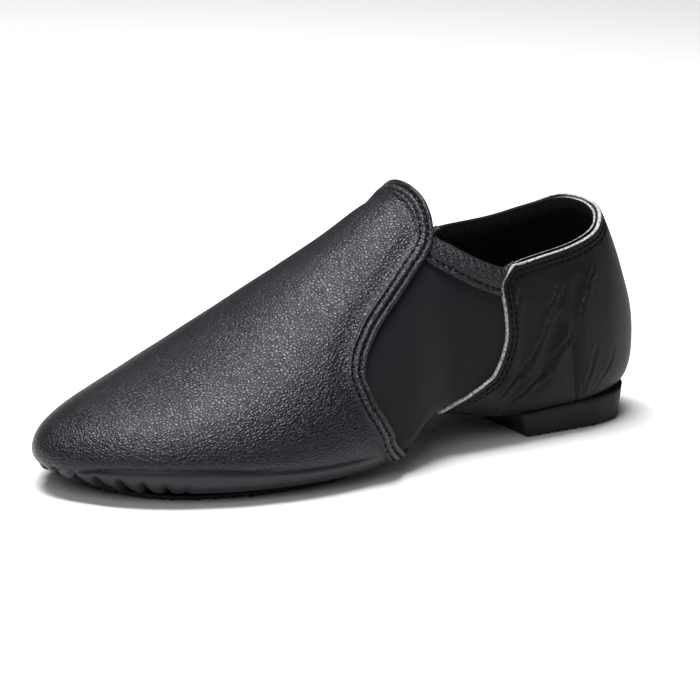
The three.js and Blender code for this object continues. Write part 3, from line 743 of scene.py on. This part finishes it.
sole_rubber = stuff(
    "sole_rubber", GRAIN, 2400.0, (0.005, 0.005, 0.0058, 1), (0.011, 0.011, 0.012, 1), 0.06 * MM,
    (0.62, 0.8), patches=(0.4, 0.62), Specular_IOR_Level=0.3)
thread = cloth(
    "thread", (0.0015, 0.0015, 0.0018, 1), (0.003, 0.003, 0.0034, 1), 2600.0, 0.05 * MM,
    sheen=0.0, shine=0.1)


def seam_band(distance):
    """Turned edge sewn twice: puffed ridges, a furrow at each row of stitches and a hollow behind."""
    puff = SEAM_PUFF * (1 - ramp(distance, *SEAM_SHOULDER))
    furrows = sum(SEAM_FURROW * hump(distance, row, FURROW_WIDTH) for row in SEAM_ROWS)
    dip = SEAM_HOLLOW * hump(distance, HOLLOW_PLACE, HOLLOW_WIDTH)
    return puff - furrows - dip


def pleat_relief(points, station):
    """Gathers under the toe: narrow furrows along bearings from the forefoot's middle."""
    across, ahead = points[..., 0] - PLEAT_CENTRE[0], points[..., 1] - PLEAT_CENTRE[1]
    bearing = np.degrees(np.arctan2(across, ahead))
    reach = np.hypot(across, ahead)
    low = 1 - ramp(points[..., 2] - rise(station), 4.5 * MM, 9.0 * MM)
    relief = np.zeros(points.shape[:-1])
    for angle, depth in PLEATS:
        aside = np.radians(bearing - angle) * reach
        relief -= depth * MM * hump(aside, 0.0, 0.95 * MM)
        relief += 0.25 * depth * MM * hump(aside, 2.6 * MM, 1.5 * MM)
    return relief * low * ramp(reach, 24 * MM, 33 * MM)


fold_height = smooth_curve(FOLD_LINE["station"], FOLD_LINE["height"] * MM)


def fold_relief(points, station):
    """Fold where the leather turns under: a shallow furrow with a low roll beneath it."""
    over = (points[..., 2] - fold_height(station)) / MM
    along = ramp(station, 0.52, 0.62)
    return MM * along * (0.3 * hump(over, -2.4, 1.5) - 0.5 * hump(over, 0.0, 1.0))


def leather_rows(pole, limit, angle, rows):
    """Stations of a leather from its pole to its edge, the points there and how far each is from it."""
    station = polar_stations(pole, limit, rows, 1.6)
    base = form(station, angle, LAYER_OUT)
    return station, base, line_distance(base, base[-1])


def vamp():
    """Leather over the toe and instep: rows run from the toe's tip back to the rear edge and the throat."""
    angle = section_angles(400)
    throat = front_limit(angle, LAYER_OUT)
    rear = edge_station(VAMP_EDGE, angle)
    limit = larger(throat, rear, 0.005)
    station, base, distance = leather_rows(1.0, limit, angle, 190)
    fullness = 0.3 + 0.7 * ramp(turn_of(angle), 0.24, 0.44)
    relief = fullness * seam_band(distance) + pleat_relief(base, station) + fold_relief(base, station)
    depth = LAYER_OUT + relief * ramp(1 - station, 0.0, 0.01) - round_over(distance, VAMP_EDGE_ROUND)
    grid = form(station, angle, depth)
    at_throat = ramp(throat - rear, -0.012, 0.004)
    inner = (1 - at_throat) * VAMP_INNER_FACE + at_throat * THROAT_INNER_FACE
    edge = edge_walls(limit, angle, depth[-1], inner, (0.3, 0.6, 0.85, 1))
    for more in (0.004, 0.02, 0.035):
        edge.append(form(np.clip(limit + more, 0, 1), angle, inner - 0.2 * MM * at_throat))
    whole = np.concatenate([grid, np.stack(edge)])
    blank = np.zeros((len(edge), len(angle)))
    smooth = 1 - ramp(base[..., 2] - fold_height(station), -1.0 * MM, 1.5 * MM)
    smooth = np.concatenate([smooth * ramp(station, 0.5, 0.62), blank])
    # Pale specks on the tops of the seam's puffed ridges: rubbing wear, and partly a painted highlight where
    # the ridges catch the light
    wear_and_highlight = 0.8 * hump(distance, 3.4 * MM, 0.8 * MM) + 0.4 * hump(distance, 0.9 * MM, 0.7 * MM)
    wear_and_highlight = np.concatenate([wear_and_highlight, blank])
    piece = surface("vamp_leather", whole, vamp_leather, pole=form(1.0, 0.0, LAYER_OUT), flip=True,
                    marks={"smooth": smooth, "wear_and_highlight": wear_and_highlight})
    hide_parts("vamp")
    sew("vamp_stitches", SEAM_ROWS, station, angle, distance, depth)


def counter():
    """Leather round the heel: rows run from the back of the heel out to the front edge and the collar."""
    angle = section_angles(460)
    collar = rear_limit(angle, LAYER_OUT, 0.45)
    front = edge_station(COUNTER_EDGE, angle)
    limit = -larger(-collar, -front, 0.006)
    station, base, distance = leather_rows(0.0, limit, angle, 180)
    relief = np.zeros(station.shape)
    wear_and_highlight = np.zeros(station.shape)
    for number, (nodes, width, depth) in enumerate(COUNTER_WRINKLES):
        fold, wear = wrinkle(base, way_over_form(nodes, number), width * MM, depth * MM)
        relief += fold
        if width < BROAD_WRINKLE:
            wear_and_highlight = np.maximum(wear_and_highlight, 0.5 * wear)
    wear_and_highlight *= ramp(base[..., 2], 28 * MM, 46 * MM)
    furrows = sum(COUNTER_FURROW * hump(distance, row, FURROW_WIDTH) for row in COUNTER_ROWS)
    depth = LAYER_OUT + relief - furrows - round_over(distance, COUNTER_EDGE_ROUND)
    grid = form(station, angle, depth)
    edge = edge_walls(limit, angle, depth[-1], COUNTER_INNER_FACE, (0.4, 0.75, 1))
    edge.append(form(limit - 0.02 * limit, angle, COUNTER_INNER_FACE))
    whole = np.concatenate([grid, np.stack(edge)])
    fibres_and_rim_light = np.concatenate([1 - ramp(distance, 0.25 * MM, 0.65 * MM),
                          np.repeat([[0.7], [0.0], [0.0], [0.0]], len(angle), 1)])
    wear_and_highlight = np.concatenate([wear_and_highlight, np.zeros((len(edge), len(angle)))])
    piece = surface("counter_leather", whole, counter_leather, pole=form(0.0, 0.0, LAYER_OUT),
                    marks={"fibres_and_rim_light": fibres_and_rim_light, "wear_and_highlight": wear_and_highlight})
    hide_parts("heel_counter")
    sew("counter_stitches", COUNTER_ROWS, station, angle, distance, depth)


def sew(name, rows, station, angle, distance, depth):
    """Rows of stitches, each along the line at its distance from an edge."""
    columns = np.arange(station.shape[1])
    for number, row in enumerate(rows):
        inside = distance > row
        last = np.minimum(len(station) - 1 - np.argmax(inside[::-1], axis=0), len(station) - 2)
        near, far = distance[last, columns], distance[last + 1, columns]
        share = np.clip((near - row) / np.maximum(near - far, 1e-9), 0, 1)
        at, deep = (values[last, columns] * (1 - share) + values[last + 1, columns] * share
                    for values in (station, depth))
        line = form(at, angle, deep)
        sew_line(f"{name}_{number + 1}", line, form_normal(at, angle), closed=True)


def sew_line(name, line, normal, closed):
    """Stitches set evenly along a line."""
    if closed:
        line, normal = np.vstack([line, line[:1]]), np.vstack([normal, normal[:1]])
    length = run_length(line)
    middles = np.arange(STITCH_PITCH / 2, length[-1] - STITCH_PITCH / 2, STITCH_PITCH)
    centre = read_off(middles, length, line)
    front = read_off(middles + STITCH_LENGTH / 2, length, line)
    tangent = unit(front - read_off(middles - STITCH_LENGTH / 2, length, line))
    up = read_off(middles, length, normal)
    up = unit(up - (up * tangent).sum(1, keepdims=True) * tangent)
    frames = np.stack([tangent, np.cross(up, tangent), up], 1)
    template, faces = stitch_shape()
    repeated(name, template, [faces], centre, frames, thread)


def stitch_shape():
    """Short thread: rings of a round section along a shallow arch, drawn in at both ends."""
    rings, sides = 6, 6
    t = np.linspace(-1, 1, rings)
    turn = 2 * np.pi * np.arange(sides) / sides
    radius = THREAD_WIDTH / 2 * np.sqrt(np.clip(1.05 - t ** 4, 0.03, 1))
    x = np.repeat(t * STITCH_LENGTH / 2, sides)
    arch = 0.22 * MM * (1 - t * t) - 0.05 * MM
    y = (radius[:, None] * np.cos(turn)).ravel()
    z = (arch[:, None] + radius[:, None] * np.sin(turn)).ravel()
    index, after = grid_index(rings, sides)
    faces = np.stack([index[:-1], after[:-1], after[1:], index[1:]], -1).reshape(-1, 4)
    caps = np.array([[0, 1, 2, 3], [0, 3, 4, 5]])
    last = caps[:, ::-1] + (rings - 1) * sides
    return np.stack([x, y, z], -1), np.vstack([faces[:, ::-1], caps[:, ::-1], last[:, ::-1]])


def side_angle(y, z, outer, depth):
    """Station and angle on one side at a place along the shoe and a height, by halving."""
    sign = 1 if outer else -1
    low = np.full(y.shape, np.pi / 2)
    high = np.full(y.shape, np.pi)
    station = station_at(y)
    share = tilt_share(station)
    for _ in range(30):
        middle = (low + high) / 2
        point = form(station, sign * middle, depth)
        station = np.clip(station + (y - point[..., 1]) / LAST_LENGTH * 0.7, 0, 1)
        inward = (point[..., 0] / (COLLAR_HALF * BALL_WIDTH) + 1) / 2
        higher = point[..., 2] > z + COLLAR_INNER_RISE * share * inward
        high = np.where(higher, middle, high)
        low = np.where(higher, low, middle)
    return station, sign * (low + high) / 2


def rim_line(count):
    """Collar line in side view between the counter and the vamp, with its downward square direction."""
    rear = np.linspace(0.262, COLLAR_REAR["station"][-1], 30)
    heights = np.linspace(COLLAR_FRONT["height"][0], 0.864, 60)[1:]
    station = np.concatenate([rear, front_station(heights)])
    height = np.concatenate([rear_height(rear), heights])
    line = np.stack([HEEL_BACK + LAST_LENGTH * station, FLOOR_SEAT + INSTEP_HEIGHT * height], -1)
    length = run_length(line)
    line = read_off(np.linspace(0, length[-1], count), length, line)
    tangent = unit(np.gradient(line, axis=0))
    return line, np.stack([tangent[:, 1], -tangent[:, 0]], -1)


# Cross profile of the collar binding in millimetres: distance down from the rim
# and depth over the foot space
BINDING_PROFILE = [
    (8.6, 1.5), (8.6, 2.3), (8.3, 2.75), (7.6, 2.95), (6.9, 2.75), (6.3, 2.5), (5.7, 2.75),
    (4.6, 3.05), (3.2, 3.15), (1.8, 3.1), (0.6, 2.95), (-0.3, 2.5), (-0.85, 1.7), (-1.0, 0.9),
    (-0.85, 0.1), (-0.3, -0.6), (0.7, -1.0), (2.4, -1.1), (4.4, -1.05), (6.0, -0.95),
    (6.8, -0.7), (7.0, -0.2), (7.0, 0.3),
]


def binding(name, node, outer):
    """Leather strip folded over the rim: its cross profile is carried along the collar line."""
    line, down = rim_line(150)
    profile = np.array(BINDING_PROFILE) * MM
    profile = read_off(np.linspace(0, len(profile) - 1, 45), np.arange(len(profile)), profile)
    y = line[None, :, 0] + profile[:, None, 0] * down[None, :, 0]
    z = line[None, :, 1] + profile[:, None, 0] * down[None, :, 1]
    depth = np.broadcast_to(profile[:, None, 1], y.shape)
    station, angle = side_angle(y, z, outer, depth)
    past = np.maximum(edge_station(COUNTER_EDGE, angle) - station, station - edge_station(VAMP_EDGE, angle))
    covered = ramp(past, -0.5 * MM / LAST_LENGTH, 1.0 * MM / LAST_LENGTH)
    depth = depth - covered * np.maximum(depth - 1.35 * MM, 0)
    outward = ramp(depth, 1.8 * MM, 2.7 * MM)
    along = y / GATHER_PITCH
    gathers = 0.13 * MM * (np.sin(2 * np.pi * along) + 0.7 * np.sin(3.3 * np.pi * along + 1.3))
    depth = depth + outward * gathers
    grid = form(station, angle, depth)
    piece = surface(name, grid, binding_leather, closed=False, flip=outer)
    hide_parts(node)
    row = int(np.argmin(np.abs(profile[:, 0] - 6.3 * MM) + np.abs(profile[:, 1] - 2.5 * MM)))
    sew_line(name + "_stitches", grid[row], form_normal(station[row], angle[row]), closed=False)


def arch_panel():
    """Stretch fabric between counter and vamp: from one rim under the arch to the other."""
    turn = np.linspace(-1, 1, 330)
    ends = []
    for rows, tuck in ((COUNTER_EDGE, -0.03), (VAMP_EDGE, 0.03)):
        station = np.full(turn.shape, 0.4)
        for _ in range(90):
            angle = turn * rim_angle(station, turn)
            station = station + 0.13 * (edge_station(rows, angle) + tuck - station)
        ends.append(station)
    along = np.linspace(0, 1, 150)[:, None]
    station = ends[0] + (ends[1] - ends[0]) * along
    grid = form(station, turn * rim_angle(station, turn), WALL)
    piece = surface("arch_fabric_panel", grid, arch_fabric, closed=False, flip=True)
    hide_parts("upper")


def rim_angles():
    """Angles of the collar line along the shoe, on the outer and the inner side."""
    at = np.linspace(0.2, COLLAR_FRONT["station"][5], 90)
    fore = np.interp(at, COLLAR_FRONT["station"][:6], COLLAR_FRONT["height"][:6])
    heights = np.where(at < COLLAR_REAR["station"][-1], rear_height(at), fore)
    y, z = HEEL_BACK + LAST_LENGTH * at, FLOOR_SEAT + INSTEP_HEIGHT * heights
    return at, [np.abs(side_angle(y, z, outer, WALL)[1]) for outer in (True, False)]


RIM_STATIONS, RIM_ANGLES = rim_angles()


def rim_angle(station, turn):
    """Angle of the collar line at a station: the outer side's where turn is positive, else the inner's."""
    outer, inner = (np.interp(station, RIM_STATIONS, side) for side in RIM_ANGLES)
    return np.where(turn > 0, outer, inner)


def lining():
    """Inside of the shoe: a front half from the toe and a rear half from the heel.

    They meet under the collar's lowest point."""
    angle = section_angles(300)
    for name, pole, limit, flip in (("lining_front", 1.0, front_limit(angle, 0.0), False),
                                    ("lining_rear", 0.0, rear_limit(angle, 0.0), True)):
        station = polar_stations(pole, limit, 120, 1.3)
        grid = form(station, angle, 0.0)
        rim = [form(limit, angle, depth) for depth in (0.4 * MM, 1.0 * MM, 1.5 * MM)]
        inner_rim = np.abs(limit - COLLAR_REAR["station"][-1]) > 1e-4
        rim = [np.where(inner_rim[:, None], row, grid[-1]) for row in rim]
        whole = np.concatenate([grid, np.stack(rim)])
        fibres_and_rim_light = np.zeros(whole.shape[:2])
        # Pale fibres of the lining's nap within 8 mm of the rim, fading down into the shoe: the nap's fuzz,
        # and partly painted light where light falls in over the rim
        painted_rim_light = 1 - ramp(line_distance(grid, grid[-1][inner_rim], closed=False), 1.0 * MM, 8 * MM)
        fibres_and_rim_light[:len(grid)] = 0.09 * painted_rim_light
        fibres_and_rim_light[-4:-2] = inner_rim * (pole == 0.0) * (1 - ramp(grid[-1, :, 0], 0.0, 14 * MM))
        piece = surface(name, whole, lining_fabric, pole=form(pole, 0.0, 0.0), flip=flip, marks={"fibres_and_rim_light": fibres_and_rim_light})


def insole():
    """Padded sheet on the seat: closed loops, the top dished and the underside on the lining."""
    count, half = 90, 24
    station = unstretch(np.linspace(0.03, 0.97, count))
    top = FLOOR_SEAT + rise(station) + INSOLE_HEIGHT
    low, high = np.zeros(count), np.full(count, np.pi / 2)
    for _ in range(30):
        middle = (low + high) / 2
        higher = form(station, middle, INSOLE_UNDERSIDE)[:, 2] > top
        high, low = np.where(higher, middle, high), np.where(higher, low, middle)
    turn = np.linspace(-1, 1, half)
    under = form(station[:, None], turn[None, :] * low[:, None], INSOLE_UNDERSIDE)
    share = np.linspace(0, 1, half)[None, :, None]
    over = under[:, -1:, :] * (1 - share) + under[:, :1, :] * share
    over[..., 2] = top[:, None] + 0.5 * MM * (np.abs(2 * share[..., 0] - 1) ** 3 - 0.5)
    grid = with_ends(np.concatenate([under, over[:, 1:-1]], axis=1))
    piece = surface("insole_sheet", grid, insole_fabric)
    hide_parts("insole")


def outline_at(rows, along):
    """Middle and half width of a sole outline."""
    return [BALL_WIDTH * column(rows, name, "along")(along) for name in ("centre", "half")]


def outline_rows(rows, rear, length, count):
    """Places along a sole outline with its left and right side."""
    last = 1.0 if rows["half"][-1] > 0 else 1 - 0.3 / count
    along = unstretch(np.linspace(0.3 / count, last, count))
    middle, reach = outline_at(rows, along)
    return along, rear + length * along, middle - reach, middle + reach


def sole_section(left, right, low, high, inset, radius, side=10):
    """Loop round a flat block: drawn-in bottom, rounded lower corners, straight sides and a top."""
    turn = np.linspace(0, np.pi / 2, side)
    wide, middle = right - left, (left + right)[:, None] / 2
    low, high = low[:, None], high[:, None]
    fillet = np.minimum(radius, wide / 5)[:, None]
    inset = np.minimum(inset, wide / 5)[:, None]
    up = np.linspace(0, 1, 6)[1:]
    corner_x = right[:, None] - inset - fillet + fillet * np.sin(turn)
    corner_z = low + fillet * (1 - np.cos(turn))
    bottom_x = middle + np.linspace(0, 1, 12)[:-1] * (corner_x[:, :1] - middle)
    bottom_z = np.broadcast_to(low, bottom_x.shape)
    half_x = np.concatenate([bottom_x, corner_x, corner_x[:, -1:] + up * inset], 1)
    half_z = np.concatenate([bottom_z, corner_z, corner_z[:, -1:] + up * (high - corner_z[:, -1:])], 1)
    other_x = 2 * middle - half_x[:, ::-1]
    return np.concatenate([half_x, other_x[:, :-1]], 1), np.concatenate([half_z, half_z[:, ::-1][:, :-1]], 1)


def forefoot_pad():
    """Rubber pad under the forefoot, rounded along its lower edge."""
    _, y, left, right = outline_rows(PAD_OUTLINE, PAD_REAR, PAD_LENGTH, 120)
    low = rise(station_at(y)) + DOT_HEIGHT
    high = low + PAD_THICKNESS + 0.25 * MM - DOT_HEIGHT
    x, z = sole_section(left, right, low, high, 0.2 * MM * np.ones(len(y)), 0.5 * MM)
    close_block("forefoot_pad", x, y, z, "forefoot_sole")
    dots("forefoot_pad_dots", PAD_OUTLINE, PAD_REAR, PAD_LENGTH, 0.8 * MM)


def heel_block():
    """Rubber heel: a low wedge whose top follows the leather, with a straight front."""
    along, y, left, right = outline_rows(HEEL_OUTLINE, HEEL_REAR, HEEL_LENGTH, 90)
    low = np.full(len(y), DOT_HEIGHT)
    high = rise(station_at(y)) + PAD_THICKNESS + HEEL_WALL_RISE
    inset = HEEL_TAPER * np.ones(len(y))
    x, z = sole_section(left, right, low, high, inset, 0.6 * MM)
    share = np.clip(z / high[:, None], 0, 1)
    low_y = HEEL_REAR + HEEL_TAPER + (HEEL_LENGTH - HEEL_TAPER - BREAST_SLANT) * along
    y = low_y[:, None] + (y - low_y)[:, None] * share
    close_block("heel_block", x, y, z, "heel")
    dots("heel_dots", HEEL_OUTLINE, HEEL_REAR + HEEL_TAPER, HEEL_LENGTH - HEEL_TAPER - BREAST_SLANT,
         HEEL_TAPER + 0.6 * MM)


def close_block(name, x, y, z, node):
    """Block of loops across the shoe, closed by its two end loops."""
    y = np.broadcast_to(y[:, None] if y.ndim == 1 else y, x.shape)
    piece = surface(name, with_ends(np.stack([x, y, z], -1)), sole_rubber)
    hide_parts(node)


def dots(name, rows, rear, length, margin):
    """Low domes on a square grid turned half a right angle, over the whole outline less a margin."""
    reach = int(0.1 / DOT_PITCH)
    i, j = np.meshgrid(np.arange(-reach, reach + 1), np.arange(-reach, reach + 1))
    x = (i - j).ravel() * DOT_PITCH / np.sqrt(2)
    y = (i + j).ravel() * DOT_PITCH / np.sqrt(2) + rear + length / 2
    along = (y - rear) / length
    centre, half = outline_at(rows, np.clip(along, 0, 1))
    inside = (np.abs(x - centre) < half - margin) & (y > rear + margin) & (y < rear + length - margin)
    x, y = x[inside], y[inside]
    base = np.stack([x, y, np.zeros(len(x))], -1)
    if rear > 0:
        base[:, 2] = rise(station_at(y))
    sides, rings = 8, 3
    turn = 2 * np.pi * np.arange(sides) / sides
    width = np.array([0.95, 0.85, 0.5]) * MM
    height = np.array([DOT_HEIGHT + 0.1 * MM, 0.18 * MM, 0.02 * MM])
    ring = np.stack([width[:, None] * np.cos(turn), width[:, None] * np.sin(turn),
                     np.repeat(height[:, None], sides, 1)], -1).reshape(-1, 3)
    template = np.vstack([ring, [[0, 0, 0]]])
    index, after = grid_index(rings, sides)
    quads = np.stack([index[:-1], index[1:], after[1:], after[:-1]], -1).reshape(-1, 4)
    tip = np.stack([index[-1], np.full(sides, rings * sides), after[-1]], -1)
    upright = np.broadcast_to(np.eye(3), (len(base), 3, 3))
    piece = repeated(name, template, [quads, tip], base, upright, sole_rubber)


# The camera's turn, fall and roll in degrees, its lens in millimetres, its aim and distance
CAMERA_TURNS = (31.74, 15.7, 0.73)
CAMERA_LENS = 191.0
CAMERA_AIM = np.array([0, 86, 35]) * MM
CAMERA_DISTANCE = 1.321

# Soft lights: place, aim, width and height in metres, and power in watts
LIGHTS = [
    ("overhead_softbox", (0.16, 0.2, 1.2), (0, 0.09, 0.03), 0.45, 0.9, 29),
    ("front_softbox", (-0.9, 1.2, 1.3), (0, 0.09, 0.03), 1.2, 1.2, 10),
    ("side_softbox", (-1.2, -0.7, 0.7), (0, 0.0, 0.03), 0.6, 0.9, 0.6),
]
ROOM_LIGHT = 0.08
FLOOR_REACH = 6


def camera_and_light():
    """Camera at the photograph's angle, a pale floor, and soft studio lights."""
    turn, fall, roll = np.radians(CAMERA_TURNS)
    forward = np.array([np.cos(turn) * np.cos(fall), -np.sin(turn) * np.cos(fall), -np.sin(fall)])
    right = unit(np.cross(forward, [0, 0, 1]))
    up = np.cross(right, forward)
    right, up = right * np.cos(roll) + up * np.sin(roll), up * np.cos(roll) - right * np.sin(roll)
    data = bpy.data.cameras.new("camera")
    data.lens, data.sensor_width = CAMERA_LENS, 36.0
    camera = add_object("camera", data)
    camera.matrix_world = (Matrix.Translation(Vector(CAMERA_AIM - CAMERA_DISTANCE * forward))
                           @ Matrix(np.column_stack([right, up, -forward]).tolist()).to_4x4())
    bpy.context.scene.camera = camera
    for light in LIGHTS:
        area_light(*light)
    world = bpy.data.worlds.new("studio")
    bpy.context.scene.world = world
    world.use_nodes = True
    background = world.node_tree.nodes["Background"]
    background.inputs["Color"].default_value = (1, 1, 1, 1)
    background.inputs["Strength"].default_value = ROOM_LIGHT
    bpy.context.scene.view_settings.view_transform = "Standard"
    floor_mesh = bpy.data.meshes.new("floor")
    corners = [(x * FLOOR_REACH, y * FLOOR_REACH, 0) for x, y in ((-1, -1), (1, -1), (1, 1), (-1, 1))]
    floor_mesh.from_pydata(corners, [], [(0, 1, 2, 3)])
    floor = add_object("floor", floor_mesh)
    pale = new_material("floor", Roughness=0.6, Base_Color=(0.92, 0.92, 0.92, 1))[0]
    floor_mesh.materials.append(pale)


def area_light(name, place_at, aim, width, height, power):
    """Soft light with a rectangular face, aimed at a point."""
    data = bpy.data.lights.new(name, "AREA")
    data.shape, data.size, data.size_y, data.energy = "RECTANGLE", width, height, power
    light = add_object(name, data)
    light.location = place_at
    light.rotation_mode = "QUATERNION"
    light.rotation_quaternion = (Vector(aim) - Vector(place_at)).to_track_quat("-Z", "Y")


camera_and_light()
vamp()
counter()
arch_panel()
binding("collar_binding_outer", "collar_binding_lateral", True)
binding("collar_binding_inner", "collar_binding_medial", False)
lining()
insole()
forefoot_pad()
heel_block()
